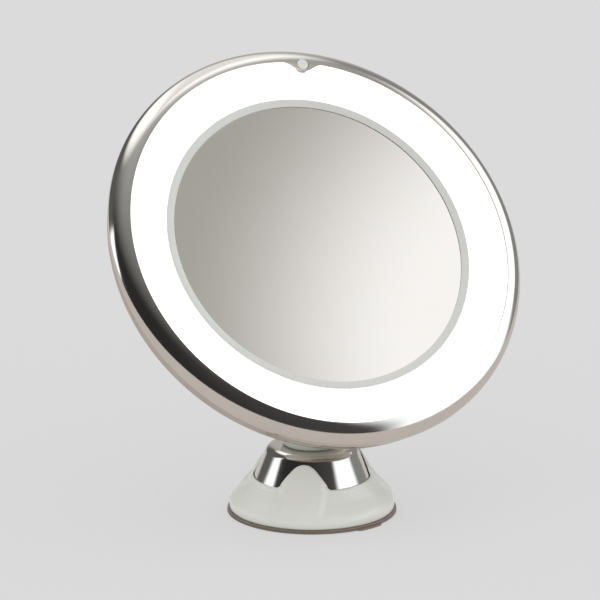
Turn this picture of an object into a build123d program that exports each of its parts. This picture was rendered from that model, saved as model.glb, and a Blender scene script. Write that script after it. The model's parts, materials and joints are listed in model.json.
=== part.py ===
"""Lighted round magnifying mirror on a ball joint and a twist-lock suction base.

Origin: centre of the suction pad's underside, on the base axis. +Z is up and -Y
is the front of the base, where one of the grip's three finger lobes points.
All sizes are in millimetres.
"""
from build123d import *
import os
from math import acos, asin, cos, degrees, radians, sin, sqrt

os.makedirs("parts", exist_ok=True)

# ---------------------------------------------------------------- driving sizes
# Pose of the mirror head at rest
HEAD_CENTRE = (-0.1, 24.4, 124.0)   # middle of the mirror's front plane
HEAD_PAN = 34.2                     # turned to the right of the front, degrees
HEAD_TILT = 39.0                    # looking up, degrees
HEAD_ROLL = 10.8                    # leaning to the right, degrees

# Mirror head: radii, and depths behind (-) or in front of (+) the front plane
RIM_R = 102.7                       # outside of the chrome rim
RIM_TUBE_R = 6.5                    # roundness of the rim's front
RIM_TUBE_Z = -3.4
RIM_BACK_Z = -5.8
RIM_WALL = 1.3
LIP_R = 93.9                        # rim's inner lip, where the lit ring shows
LIP_WALL_Z = -0.55                  # foot of the lip's wall, on the lit ring
LIP_WALL = 1.1
TAB_HALF = 10.5                     # half width of the tab at the top of the rim
TAB_TIP_R = 88.9
TAB_Z = (1.3, 2.5)                  # back and front of the tab
BUTTON_HOLE_GAP = 0.2
BUTTON_AT_R = 93.0
BUTTON_R = 2.8
BUTTON_TOP_Z = 2.9
BUTTON_FLANGE_R = 3.8
BUTTON_FLANGE_Z = (0.4, 1.2)
BUTTON_FOOT_Z = -3.3
DIFFUSER_R = 95.4
DIFFUSER_Z = (-2.75, -0.7)
DIFFUSER_NOTCH_R = 4.7              # room for the button in the lit ring
RING_OUT_R = 75.5                   # ring that holds the glass
RING_IN_R = 71.7
GLASS_R = 73.6
GLASS_THICK = 3.0
GLASS_EDGE_Z = -1.05
GLASS_SPHERE_R = 600.0              # concave front, about 5 times magnification
SHELL_BAND_R = 100.7                # side of the rear shell
SHELL_CORNER_R = 4.0
SHELL_CORNER_Z = -12.2
SHELL_BACK_Z = -25.2                # middle of the domed back
SHELL_WALL = 1.8
SHELL_BEND = 79.4                   # turn of the shell's corner into its dome, degrees

# Ball joint
BALL_Z = 38.0
BALL_R = 8.0
SLEEVE_IN_R = 8.15
SLEEVE_OUT_R = 8.9
SOCKET_R = 9.05
STEM_R = 3.0
ARM_R = 5.0
ARM_BEND_R = 8.0
ARM_FLANGE_R = 10.8
ARM_SCREW_R = 8.1
ARM_FLANGE_Z = (-25.8, -22.8)       # flange of the arm, behind the front plane

# Suction base
PAD_R = 39.9
SKIRT_R = 38.9
LEDGE_Z = 17.5                      # top of the grip's skirt between its lobes
LOBES = 3
LOBE_HALF = 11.1                    # half width of a lobe
LOBE_TOP_Z = 28.6
LOBE_CROWN_R = 8.97                 # roundness of a lobe's top
LOBE_CROWN_HALF = 7.4               # half width of that rounded top
LOBE_HIP_Z = 19.7                   # below this a lobe's sides are upright
CONE_TOP = (22.0, 29.4)             # chrome cap's side, as radius and height
CONE_SLOPE = 0.43                   # radius lost for each millimetre up
CAP_TOP_Z = 32.5
CAP_WALL = 1.2
CAP_LOW_Z = 12.0
PULL_TRAVEL = 2.4                   # lift of the pull stud
LOCK_TURN = 90.0                    # turn of the grip, degrees
PIN_Z = 11.2                        # cross pin at rest
PIN_R = 1.25
TOWER_R = 17.0
GRIP_SCREW_R = 32.3

# ---------------------------------------------------------------- frames
pan, tilt, roll = radians(HEAD_PAN), radians(HEAD_TILT), radians(HEAD_ROLL)
normal = Vector(sin(pan) * cos(tilt), -cos(pan) * cos(tilt), sin(tilt))
across = Vector(cos(pan), sin(pan), 0)
upward = normal.cross(across)
head_right = across * cos(roll) - upward * sin(roll)
head = Plane(origin=HEAD_CENTRE, x_dir=head_right, z_dir=normal)
head_section = Plane(origin=head.origin, x_dir=head.x_dir, z_dir=-head.y_dir)
head_axis = Axis(head.origin, head.z_dir)

ball = Vector(0, 0, BALL_Z)
front = Vector(sin(pan), -cos(pan), 0)
base_section = Plane.XZ

# Line of the bent arm: up from the ball's stem, then round to the mirror's normal
ARM_LOW = 11.0                      # start of the arm above the ball's centre
ARM_BEND = 12.0                     # start of its bend
arm_turn = radians(90 - HEAD_TILT)
arm_low = ball + Vector(0, 0, ARM_LOW)
arm_bend = ball + Vector(0, 0, ARM_BEND)


def on_arm_bend(turn):
    """Point on the arm's bend after turning by an angle in radians."""
    return arm_bend + front * (ARM_BEND_R * (1 - cos(turn))) + Vector(0, 0, ARM_BEND_R * sin(turn))


arm_at = head.to_local_coords(on_arm_bend(arm_turn))


def cone_r(z):
    """Outside radius of the chrome cap's cone at height z."""
    return CONE_TOP[0] + CONE_SLOPE * (CONE_TOP[1] - z)


def glass_z(r, behind=0.0):
    """Depth of the glass's concave front, or of the face a thickness behind it."""
    middle = GLASS_EDGE_Z - (GLASS_SPHERE_R - sqrt(GLASS_SPHERE_R**2 - GLASS_R**2))
    return middle + GLASS_SPHERE_R - sqrt(GLASS_SPHERE_R**2 - r**2) - behind


def shell_arcs(inset):
    """Points of the rear shell's outline, moved inward by the inset: band end,
    corner middle, corner end, dome middle and dome end on the axis."""
    centre = (SHELL_BAND_R - SHELL_CORNER_R, SHELL_CORNER_Z)
    bend = radians(SHELL_BEND)
    r = SHELL_CORNER_R - inset
    start = (centre[0] + r, centre[1])
    middle = (centre[0] + r * cos(bend / 2), centre[1] - r * sin(bend / 2))
    end = (centre[0] + r * cos(bend), centre[1] - r * sin(bend))
    top = SHELL_BACK_Z + inset
    sag = end[1] - top
    dome = (end[0]**2 + sag**2) / (2 * sag)
    half = end[0] / 2
    dome_mid = (half, top + dome - sqrt(dome**2 - half**2))
    return start, middle, end, dome_mid, (0, top)


def arch_outline():
    """Front view of a lobe, standing on the axis: round top, sloping shoulders, upright sides."""
    crown_z = LOBE_TOP_Z - LOBE_CROWN_R
    shoulder = (LOBE_CROWN_HALF, crown_z + sqrt(LOBE_CROWN_R**2 - LOBE_CROWN_HALF**2))
    foot_z = 2
    with BuildLine() as outline:
        ThreePointArc((-shoulder[0], shoulder[1]), (0, LOBE_TOP_Z), shoulder)
        Polyline(shoulder, (LOBE_HALF, LOBE_HIP_Z), (LOBE_HALF, foot_z), (-LOBE_HALF, foot_z),
                 (-LOBE_HALF, LOBE_HIP_Z), (-shoulder[0], shoulder[1]))
    return outline.line


def lobe_plane(number):
    """Upright plane through the axis, facing out along one lobe."""
    turn = radians(360 / LOBES * number)
    return Plane(origin=(0, 0, 0), x_dir=(cos(turn), sin(turn), 0), z_dir=(sin(turn), -cos(turn), 0))


# ================================================================ mirror head
# Chrome rim: a rounded channel with an inner lip and the tab for the button.
with BuildPart() as chrome_bezel:
    lip_angle = degrees(acos((LIP_R - (RIM_R - RIM_TUBE_R)) / RIM_TUBE_R))
    rim_centre = (RIM_R - RIM_TUBE_R, RIM_TUBE_Z)
    inner_r = RIM_TUBE_R - RIM_WALL
    inner_angle = degrees(acos((LIP_R + LIP_WALL - rim_centre[0]) / inner_r))
    with BuildSketch(head_section):
        with BuildLine():
            outer = CenterArc(rim_centre, RIM_TUBE_R, 0, lip_angle)
            inner = CenterArc(rim_centre, inner_r, 0, inner_angle)
            Polyline(outer @ 1, (LIP_R, LIP_WALL_Z), (LIP_R + LIP_WALL, LIP_WALL_Z), inner @ 1)
            Line(outer @ 0, (RIM_R, RIM_BACK_Z))
            Line((RIM_R, RIM_BACK_Z), (RIM_R - RIM_WALL, RIM_BACK_Z))
            Line((RIM_R - RIM_WALL, RIM_BACK_Z), inner @ 0)
        make_face()
    revolve(axis=head_axis)
    tab_side = sqrt(LIP_R**2 - TAB_HALF**2)
    tab_middle = (tab_side + TAB_TIP_R) / 2
    with BuildSketch(head.offset(TAB_Z[0])):
        with BuildLine():
            Spline((-TAB_HALF, tab_side), (-TAB_HALF / 2, tab_middle), (0, TAB_TIP_R),
                   (TAB_HALF / 2, tab_middle), (TAB_HALF, tab_side), tangents=[(1, -0.1), (1, 0.1)])
            Line((TAB_HALF, tab_side), (TAB_HALF, tab_side + 1.2))
            Line((TAB_HALF, tab_side + 1.2), (-TAB_HALF, tab_side + 1.2))
            Line((-TAB_HALF, tab_side + 1.2), (-TAB_HALF, tab_side))
        make_face()
    extrude(amount=TAB_Z[1] - TAB_Z[0])
    with BuildSketch(head.offset(-3)):
        with Locations((0, BUTTON_AT_R)):
            Circle(BUTTON_R + BUTTON_HOLE_GAP)
    extrude(amount=9, mode=Mode.SUBTRACT)
    with BuildSketch(head.offset(BUTTON_FLANGE_Z[1] + 0.05)):
        with Locations((0, BUTTON_AT_R)):
            Circle(BUTTON_FLANGE_R + 0.4)
    extrude(amount=-4, mode=Mode.SUBTRACT)
chrome_bezel.part.label = "chrome_bezel"

# Lit ring: a flat milky cover with a notch for the button.
with BuildPart() as light_diffuser:
    with BuildSketch(head.offset(DIFFUSER_Z[0])):
        Circle(DIFFUSER_R)
        Circle(RING_OUT_R + 0.1, mode=Mode.SUBTRACT)
        with Locations((0, BUTTON_AT_R)):
            Circle(DIFFUSER_NOTCH_R, mode=Mode.SUBTRACT)
    extrude(amount=DIFFUSER_Z[1] - DIFFUSER_Z[0])
light_diffuser.part.label = "light_diffuser"

# Ring that holds the glass, with a sleeve down to the frame.
with BuildPart() as mirror_retaining_ring:
    with BuildSketch(head_section):
        with BuildLine():
            Polyline((RING_IN_R, -1.0), (RING_IN_R, -0.7), (RING_OUT_R - 0.4, 0.1), (RING_OUT_R, -0.1),
                     (RING_OUT_R, -1.0), (75.2, -1.0), (75.2, -2.7), (73.9, -2.7), (73.9, -1.0), close=True)
        make_face()
    revolve(axis=head_axis)
mirror_retaining_ring.part.label = "mirror_retaining_ring"

# Concave mirror glass.
with BuildPart() as mirror_glass:
    with BuildSketch(head_section):
        with BuildLine():
            half = GLASS_R / 2
            ThreePointArc((0, glass_z(0)), (half, glass_z(half)), (GLASS_R, glass_z(GLASS_R)))
            Line((GLASS_R, glass_z(GLASS_R)), (GLASS_R, glass_z(GLASS_R, GLASS_THICK)))
            ThreePointArc((GLASS_R, glass_z(GLASS_R, GLASS_THICK)), (half, glass_z(half, GLASS_THICK)),
                          (0, glass_z(0, GLASS_THICK)))
            Line((0, glass_z(0, GLASS_THICK)), (0, glass_z(0)))
        make_face()
    revolve(axis=head_axis)
mirror_glass.part.label = "mirror_glass"

# Foam ring that presses the glass against its ring.
FLOOR_Z = (-10.6, -9.2)             # floor of the inner frame
CUSHION_R = (60, 73)
cushion_low, cushion_high = CUSHION_R
with BuildPart() as mirror_cushion:
    with BuildSketch(head_section):
        with BuildLine():
            Polyline((cushion_low, FLOOR_Z[1] + 0.05), (cushion_high, FLOOR_Z[1] + 0.05),
                     (cushion_high, glass_z(cushion_high, GLASS_THICK) - 0.1),
                     (cushion_low, glass_z(cushion_low, GLASS_THICK) - 0.1), close=True)
        make_face()
    revolve(axis=head_axis)
mirror_cushion.part.label = "mirror_cushion"

# Carrier tray: floor, an inner wall under the glass ring and an outer wall.
SHELL_SCREW_R = 66.0
SCREW_SEAT_Z = -19.4
with BuildPart() as inner_frame:
    with BuildSketch(head_section):
        with BuildLine():
            Polyline((16, FLOOR_Z[0]), (98.0, FLOOR_Z[0]), (98.0, -2.8), (95.6, -2.8), (95.6, FLOOR_Z[1]),
                     (75.3, FLOOR_Z[1]), (75.3, -2.8), (73.9, -2.8), (73.9, FLOOR_Z[1]), (16, FLOOR_Z[1]),
                     close=True)
        make_face()
    revolve(axis=head_axis)
    with BuildSketch(head.offset(FLOOR_Z[0])):
        with PolarLocations(SHELL_SCREW_R, 4, start_angle=45):
            Circle(3.2)
    extrude(amount=-6)
    with BuildSketch(head.offset(FLOOR_Z[0] - 6.5)):
        with PolarLocations(SHELL_SCREW_R, 4, start_angle=45):
            Circle(1.25)
    extrude(amount=6.4, mode=Mode.SUBTRACT)
inner_frame.part.label = "inner_frame"

# Ring-shaped circuit board, and the lamps on its front.
BOARD_Z = (-9.1, -7.9)
BOARD_R = (78, 95.2)
LED_AT_R = 85
with BuildPart() as led_board:
    with BuildSketch(head.offset(BOARD_Z[0])):
        Circle(BOARD_R[1])
        Circle(BOARD_R[0], mode=Mode.SUBTRACT)
    extrude(amount=BOARD_Z[1] - BOARD_Z[0])
led_board.part.label = "led_board"

LEDS = 30
with BuildPart() as leds:
    with BuildSketch(head.offset(BOARD_Z[1])):
        with PolarLocations(LED_AT_R, LEDS, start_angle=6):
            Rectangle(2.8, 3.5)
    extrude(amount=0.9)
leds.part.label = "leds"

# Power button in the tab, its switch, and the switch's plunger.
with BuildPart() as power_button:
    with BuildSketch(head.offset(BUTTON_FLANGE_Z[0])):
        with Locations((0, BUTTON_AT_R)):
            Circle(BUTTON_FLANGE_R)
    extrude(amount=BUTTON_FLANGE_Z[1] - BUTTON_FLANGE_Z[0])
    with BuildSketch(head.offset(BUTTON_FLANGE_Z[1])):
        with Locations((0, BUTTON_AT_R)):
            Circle(BUTTON_R)
    extrude(amount=BUTTON_TOP_Z - BUTTON_FLANGE_Z[1])
    fillet(power_button.faces().sort_by(head_axis)[-1].edges(), radius=0.4)
    with BuildSketch(head.offset(BUTTON_FOOT_Z)):
        with Locations((0, BUTTON_AT_R)):
            Circle(1.3)
    extrude(amount=BUTTON_FLANGE_Z[0] - BUTTON_FOOT_Z)
power_button.part.label = "power_button"

with BuildPart() as switch_plunger:
    with BuildSketch(head.offset(BUTTON_FOOT_Z - 2.9)):
        with Locations((0, BUTTON_AT_R)):
            Circle(1.4)
    extrude(amount=2.85)
switch_plunger.part.label = "switch_plunger"

with BuildPart() as tact_switch:
    with BuildSketch(head.offset(BOARD_Z[1])):
        with Locations((0, BUTTON_AT_R)):
            Rectangle(4.6, 4.6)
    extrude(amount=3.4)
    with BuildSketch(head.offset(BOARD_Z[1] + 0.6)):
        with Locations((0, BUTTON_AT_R)):
            Circle(1.65)
    extrude(amount=4, mode=Mode.SUBTRACT)
tact_switch.part.label = "tact_switch"

# Rear shell: a shallow domed pan with the battery opening and the arm's boss.
BAY_MID = 8.0                       # middle of the battery bay above the centre
BAY_SIZE = (60.0, 56.0)
DOOR_GAP = 0.35
with BuildPart() as rear_shell:
    with BuildSketch(head_section):
        with BuildLine():
            o_start, o_corner, o_end, o_dome, o_top = shell_arcs(0)
            i_start, i_corner, i_end, i_dome, i_top = shell_arcs(SHELL_WALL)
            Line(o_start, (SHELL_BAND_R, RIM_BACK_Z - 0.2))
            Line((SHELL_BAND_R, RIM_BACK_Z - 0.2), (99.8, RIM_BACK_Z - 0.2))
            Line((99.8, RIM_BACK_Z - 0.2), (99.8, RIM_TUBE_Z + 1))
            Line((99.8, RIM_TUBE_Z + 1), (98.2, RIM_TUBE_Z + 1))
            Line((98.2, RIM_TUBE_Z + 1), (98.2, RIM_BACK_Z - 2.0))
            Line((98.2, RIM_BACK_Z - 2.0), i_start)
            ThreePointArc(i_start, i_corner, i_end)
            ThreePointArc(i_end, i_dome, i_top)
            Line(i_top, o_top)
            ThreePointArc(o_top, o_dome, o_end)
            ThreePointArc(o_end, o_corner, o_start)
        make_face()
    revolve(axis=head_axis)
    with BuildSketch(head.offset(ARM_FLANGE_Z[1] + 0.05)):
        with Locations((arm_at.X, arm_at.Y)):
            Circle(ARM_FLANGE_R + 1.5)
    extrude(amount=2.6)
    with BuildSketch(head.offset(SHELL_BACK_Z - 1)):
        with Locations((0, BAY_MID)):
            RectangleRounded(*BAY_SIZE, 5)
    extrude(amount=6, mode=Mode.SUBTRACT)
    with BuildSketch(head.offset(SHELL_BACK_Z - 1)):
        with Locations((arm_at.X, arm_at.Y)):
            with PolarLocations(ARM_SCREW_R, 3, start_angle=90):
                Circle(1.35)
    extrude(amount=10, mode=Mode.SUBTRACT)
    with BuildSketch(head.offset(SCREW_SEAT_Z)):
        with PolarLocations(SHELL_SCREW_R, 4, start_angle=45):
            Circle(5.0)
    extrude(amount=2.6)
    with BuildSketch(head.offset(SCREW_SEAT_Z)):
        with PolarLocations(SHELL_SCREW_R, 4, start_angle=45):
            Circle(3.3)
    extrude(amount=-6, mode=Mode.SUBTRACT)
    with BuildSketch(head.offset(SCREW_SEAT_Z)):
        with PolarLocations(SHELL_SCREW_R, 4, start_angle=45):
            Circle(1.5)
    extrude(amount=4, mode=Mode.SUBTRACT)
rear_shell.part.label = "rear_shell"

# Screws that hold the rear shell to the inner frame.
with BuildPart() as shell_screws:
    with BuildSketch(head.offset(SCREW_SEAT_Z - 0.05)):
        with PolarLocations(SHELL_SCREW_R, 4, start_angle=45):
            Circle(2.7)
    extrude(amount=-1.5)
    with BuildSketch(head.offset(SCREW_SEAT_Z - 0.1)):
        with PolarLocations(SHELL_SCREW_R, 4, start_angle=45):
            Circle(1.2)
    extrude(amount=8)
shell_screws.part.label = "shell_screws"

# Battery door: a piece of the dome with a thumb rib and two locating tongues.
with BuildPart() as battery_door:
    with BuildSketch(head_section):
        with BuildLine():
            o_start, o_corner, o_end, o_dome, o_top = shell_arcs(0)
            i_start, i_corner, i_end, i_dome, i_top = shell_arcs(SHELL_WALL)
            Line(i_top, o_top)
            ThreePointArc(o_top, o_dome, o_end)
            Line(o_end, i_end)
            ThreePointArc(i_end, i_dome, i_top)
        make_face()
    revolve(axis=head_axis)
    with BuildSketch(head.offset(SHELL_BACK_Z - 1)):
        with Locations((0, BAY_MID)):
            RectangleRounded(BAY_SIZE[0] - 2 * DOOR_GAP, BAY_SIZE[1] - 2 * DOOR_GAP, 5 - DOOR_GAP)
    extrude(amount=8, mode=Mode.INTERSECT)
    with BuildSketch(head.offset(SHELL_BACK_Z - 0.4)):
        with Locations((0, BAY_MID + BAY_SIZE[1] / 2 - 7)):
            with GridLocations(0, 2.6, 1, 3):
                SlotOverall(20, 1.3)
    extrude(amount=1.4)
battery_door.part.label = "battery_door"

# Battery tray with four troughs, the cells, and their contacts and springs.
CELL_R = 5.2
CELL_Z = -16.4
CELL_PITCH = 12.0
CELL_LONG = 44.0
cell_rows = [BAY_MID + CELL_PITCH * (row - 1.5) for row in range(4)]
with BuildPart() as battery_tray:
    with BuildSketch(head.offset(-21.3)):
        with Locations((0, BAY_MID)):
            RectangleRounded(58, 51, 3)
    extrude(amount=10.4)
    for row in cell_rows:
        with BuildSketch(Plane(origin=head.from_local_coords(Vector(-25.5, row, CELL_Z)),
                               x_dir=head.y_dir, z_dir=head.x_dir)):
            Circle(CELL_R + 0.15)
        extrude(amount=51, mode=Mode.SUBTRACT)
        with BuildSketch(head.offset(-22)):
            with Locations((0, row)):
                Rectangle(51, 2 * CELL_R + 0.3)
        extrude(amount=5.6, mode=Mode.SUBTRACT)
battery_tray.part.label = "battery_tray"

with BuildPart() as batteries:
    for number, row in enumerate(cell_rows):
        side = 1 if number % 2 else -1
        axis_plane = Plane(origin=head.from_local_coords(Vector(-side * (CELL_LONG / 2 - 1), row, CELL_Z)),
                           x_dir=head.y_dir, z_dir=head.x_dir * side)
        with BuildSketch(axis_plane):
            Circle(CELL_R)
        extrude(amount=CELL_LONG)
        with BuildSketch(axis_plane.offset(CELL_LONG)):
            Circle(1.9)
        extrude(amount=0.9)
batteries.part.label = "batteries"

with BuildPart() as battery_contacts:
    for row in cell_rows:
        for side in (-1, 1):
            with BuildSketch(Plane(origin=head.from_local_coords(Vector(side * 25.0, row, CELL_Z)),
                                   x_dir=head.y_dir, z_dir=head.x_dir)):
                Rectangle(7.0, 7.0)
            extrude(amount=0.2, both=True)
battery_contacts.part.label = "battery_contacts"

with BuildPart() as battery_springs:
    for number, row in enumerate(cell_rows):
        side = 1 if number % 2 else -1
        start = Vector(-side * 24.3, row, CELL_Z)
        place = Plane(origin=head.from_local_coords(start), x_dir=head.y_dir, z_dir=head.x_dir * side)
        with BuildLine() as coil:
            Helix(pitch=1.0, height=2.2, radius=3.2, center=place.origin, direction=place.z_dir)
        with BuildSketch(Plane(origin=coil.line @ 0, z_dir=coil.line % 0)):
            Circle(0.3)
        sweep(path=coil.line, is_frenet=True)
battery_springs.part.label = "battery_springs"

# Plate inside the shell that takes the arm's screws.
ARM_PLATE_Z = -17.4
ARM_PLATE_THICK = 2.0
with BuildPart() as arm_plate:
    with BuildSketch(head.offset(ARM_PLATE_Z)):
        with Locations((arm_at.X, arm_at.Y)):
            Circle(10.2)
            with PolarLocations(ARM_SCREW_R, 3, start_angle=90):
                Circle(1.15, mode=Mode.SUBTRACT)
    extrude(amount=ARM_PLATE_THICK)
arm_plate.part.label = "arm_plate"

# ================================================================ neck
# The stem rises from the ball, and the arm bends from it to the shell's boss.
with BuildPart() as neck_arm:
    with BuildLine() as arm_path:
        Line(arm_low, arm_bend)
        ThreePointArc(arm_bend, on_arm_bend(arm_turn / 2), on_arm_bend(arm_turn))
        Line(on_arm_bend(arm_turn), on_arm_bend(arm_turn) + normal)
    with BuildSketch(Plane(origin=arm_low, z_dir=(0, 0, 1))):
        Circle(ARM_R)
    sweep(path=arm_path.line)
    with BuildSketch(head.offset(ARM_FLANGE_Z[0])):
        with Locations((arm_at.X, arm_at.Y)):
            Circle(ARM_FLANGE_R)
    extrude(amount=ARM_FLANGE_Z[1] - ARM_FLANGE_Z[0])
    with BuildSketch(head.offset(ARM_FLANGE_Z[0] - 0.5)):
        with Locations((arm_at.X, arm_at.Y)):
            with PolarLocations(ARM_SCREW_R, 3, start_angle=90):
                Circle(1.35)
    extrude(amount=5, mode=Mode.SUBTRACT)
    with BuildSketch(Plane(origin=arm_low - Vector(0, 0, 1), z_dir=(0, 0, 1))):
        Circle(STEM_R + 0.05)
    extrude(amount=10, mode=Mode.SUBTRACT)
neck_arm.part.label = "neck_arm"

with BuildPart() as arm_screws:
    with BuildSketch(head.offset(ARM_PLATE_Z + ARM_PLATE_THICK)):
        with Locations((arm_at.X, arm_at.Y)):
            with PolarLocations(ARM_SCREW_R, 3, start_angle=90):
                Circle(1.1)
    extrude(amount=ARM_FLANGE_Z[0] - ARM_PLATE_Z - ARM_PLATE_THICK - 0.1)
    with BuildSketch(head.offset(ARM_FLANGE_Z[0] - 0.05)):
        with Locations((arm_at.X, arm_at.Y)):
            with PolarLocations(ARM_SCREW_R, 3, start_angle=90):
                Circle(1.9)
    extrude(amount=-1.2)
arm_screws.part.label = "arm_screws"

# Steel ball on its stem.
with BuildPart() as ball_stud:
    with BuildSketch(base_section):
        with BuildLine():
            neck_z = sqrt(BALL_R**2 - STEM_R**2)
            ThreePointArc((0, BALL_Z - BALL_R), (BALL_R, BALL_Z), (STEM_R, BALL_Z + neck_z))
            Polyline((STEM_R, BALL_Z + neck_z), (STEM_R, BALL_Z + 20), (0, BALL_Z + 20),
                     (0, BALL_Z - BALL_R))
        make_face()
    revolve(axis=Axis.Z)
ball_stud.part.label = "ball_stud"

# Nylon sleeve around the ball: a cup with its mouth up.
with BuildPart() as ball_sleeve:
    with BuildSketch(base_section):
        with BuildLine():
            mouth = radians(28)
            tail = radians(-62)
            for radius in (SLEEVE_IN_R, SLEEVE_OUT_R):
                points = [(radius * cos(a), BALL_Z + radius * sin(a))
                          for a in (tail, (tail + mouth) / 2, mouth)]
                ThreePointArc(*points)
            for a in (tail, mouth):
                Line((SLEEVE_IN_R * cos(a), BALL_Z + SLEEVE_IN_R * sin(a)),
                     (SLEEVE_OUT_R * cos(a), BALL_Z + SLEEVE_OUT_R * sin(a)))
        make_face()
    revolve(axis=Axis.Z)
ball_sleeve.part.label = "ball_sleeve"

# Seat that turns under the ball, in the neck of the base.
SEAT_Z = (28.2, 35.4)
with BuildPart() as ball_seat:
    with BuildSketch(base_section):
        with BuildLine():
            low_r = sqrt(SOCKET_R**2 - (BALL_Z - SEAT_Z[0] - 1.4)**2)
            high_r = sqrt(SOCKET_R**2 - (BALL_Z - SEAT_Z[1])**2)
            middle_turn = radians(-40)
            ThreePointArc((low_r, SEAT_Z[0] + 1.4),
                          (SOCKET_R * cos(middle_turn), BALL_Z + SOCKET_R * sin(middle_turn)),
                          (high_r, SEAT_Z[1]))
            Polyline((high_r, SEAT_Z[1]), (10.4, SEAT_Z[1]), (10.4, SEAT_Z[0]), (low_r, SEAT_Z[0]),
                     (low_r, SEAT_Z[0] + 1.4))
        make_face()
    revolve(axis=Axis.Z)
ball_seat.part.label = "ball_seat"

# ================================================================ base
# Wave washer under the seat, drawn as a thin dished ring.
with BuildPart() as seat_washer:
    with BuildSketch(base_section):
        with BuildLine():
            Polyline((5.5, 26.6), (10.2, 27.3), (10.2, 28.05), (5.5, 27.35), close=True)
        make_face()
    revolve(axis=Axis.Z)
seat_washer.part.label = "seat_washer"

# Socket collar: a funnel-shaped nut that closes over the ball.
with BuildPart() as socket_collar:
    with BuildSketch(base_section):
        with BuildLine():
            lip = radians(37.4)
            lip_point = (SOCKET_R * cos(lip), BALL_Z + SOCKET_R * sin(lip))
            low = asin((36.2 - BALL_Z) / SOCKET_R)
            low_point = (SOCKET_R * cos(low), 36.2)
            ThreePointArc(low_point, (SOCKET_R, BALL_Z), lip_point)
            Polyline(lip_point, (lip_point[0] + 0.5, 44.2), (9.4, 44.4), (15.2, 41.4))
            ThreePointArc((15.2, 41.4), (16.3, 40.9), (16.5, 39.7))
            Polyline((16.5, 39.7), (14.6, 35.2), (13.6, 33.1), (13.0, CAP_TOP_Z + 0.05),
                     (11.9, CAP_TOP_Z + 0.05), (11.9, 36.2), low_point)
        make_face()
    revolve(axis=Axis.Z)
socket_collar.part.label = "socket_collar"

# Chrome cap: a cone with a rounded shoulder.
with BuildPart() as chrome_cap:
    with BuildSketch(base_section):
        with BuildLine():
            corner_r = cone_r(CAP_TOP_Z)
            wall = CAP_WALL
            Polyline((cone_r(CAP_LOW_Z), CAP_LOW_Z), (corner_r, CAP_TOP_Z), (12.1, CAP_TOP_Z),
                     (12.1, CAP_TOP_Z - wall), (corner_r - wall, CAP_TOP_Z - wall),
                     (cone_r(CAP_LOW_Z) - wall * 1.09, CAP_LOW_Z), close=True)
        make_face()
        fillet(vertices().filter_by(lambda v: abs(v.X - corner_r) < 0.01), radius=5.2)
        fillet(vertices().filter_by(lambda v: abs(v.X - corner_r + wall) < 0.01), radius=4.0)
    revolve(axis=Axis.Z)
chrome_cap.part.label = "chrome_cap"

# Core: floor over the pad, slotted tower, and the neck that the collar grips.
with BuildPart() as base_core:
    with BuildSketch(base_section):
        with BuildLine():
            Polyline((14.3, 2.6), (36.0, 2.6), (36.0, 4.6), (TOWER_R, 4.6), (TOWER_R, 24.0), (19.5, 24.0),
                     (19.5, 28.0), (13.6, 28.0), (13.6, 31.2), (11.7, 31.2), (11.7, 35.8), (10.5, 35.8),
                     (10.5, 26.4), (4.1, 26.4), (4.1, 23.0), (7.2, 23.0), (7.2, 8.6), (14.3, 8.6), close=True)
        make_face()
    revolve(axis=Axis.Z)
    with BuildSketch(Plane.YZ):
        with Locations((0, PIN_Z + PULL_TRAVEL / 2)):
            SlotCenterToCenter(PULL_TRAVEL + 0.2, 2 * PIN_R + 0.4, rotation=90)
    extrude(amount=30, both=True, mode=Mode.SUBTRACT)
base_core.part.label = "base_core"

# Suction pad: soft disc with a grooved edge, a hub for the stud and a pull tab.
TAB_TURN = 51.8
with BuildPart() as suction_pad:
    with BuildSketch(base_section):
        with BuildLine():
            Polyline((0, 0), (PAD_R, 0), (PAD_R, 0.75), (PAD_R - 0.5, 0.9), (PAD_R - 0.5, 1.1),
                     (PAD_R - 0.1, 1.25), (PAD_R - 0.4, 1.7), (36.5, 1.75), (36.0, 2.5),
                     (14.0, 2.5), (14.0, 8.2), (4.4, 8.2),
                     (4.4, 7.0), (11.0, 7.0), (11.0, 2.4), (0, 2.4), close=True)
        make_face()
    revolve(axis=Axis.Z)
    tab_plane = Plane(origin=(0, 0, 0.05), z_dir=(0, 0, 1),
                      x_dir=(sin(radians(TAB_TURN)), -cos(radians(TAB_TURN)), 0))
    with BuildSketch(tab_plane):
        with Locations((PAD_R - 1, 0)):
            RectangleRounded(4.4, 15, 1.4)
    extrude(amount=1.1)
suction_pad.part.label = "suction_pad"

# Pull stud: flange in the pad's hub, pin boss and guide.
with BuildPart() as pull_stud:
    with BuildSketch(base_section):
        with BuildLine():
            Polyline((0, 2.5), (10.5, 2.5), (10.5, 4.2), (4.0, 4.2), (4.0, 8.4), (7.0, 8.4),
                     (7.0, 14.0), (4.0, 14.0), (4.0, 22.0), (0, 22.0), close=True)
        make_face()
    revolve(axis=Axis.Z)
    with BuildSketch(Plane.YZ):
        with Locations((0, PIN_Z)):
            Circle(PIN_R + 0.05)
    extrude(amount=12, both=True, mode=Mode.SUBTRACT)
pull_stud.part.label = "pull_stud"

with BuildPart() as cross_pin:
    with BuildSketch(Plane.YZ):
        with Locations((0, PIN_Z)):
            Circle(PIN_R)
    extrude(amount=21.5, both=True)
cross_pin.part.label = "cross_pin"

# Spring that pushes the stud back down when the grip is released.
with BuildPart() as return_spring:
    with BuildLine() as return_coil:
        Helix(pitch=1.9, height=7.6, radius=5.6, center=(0, 0, 14.65), direction=(0, 0, 1))
    with BuildSketch(Plane(origin=return_coil.line @ 0, z_dir=return_coil.line % 0)):
        Circle(0.5)
    sweep(path=return_coil.line, is_frenet=True)
return_spring.part.label = "return_spring"

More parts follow.
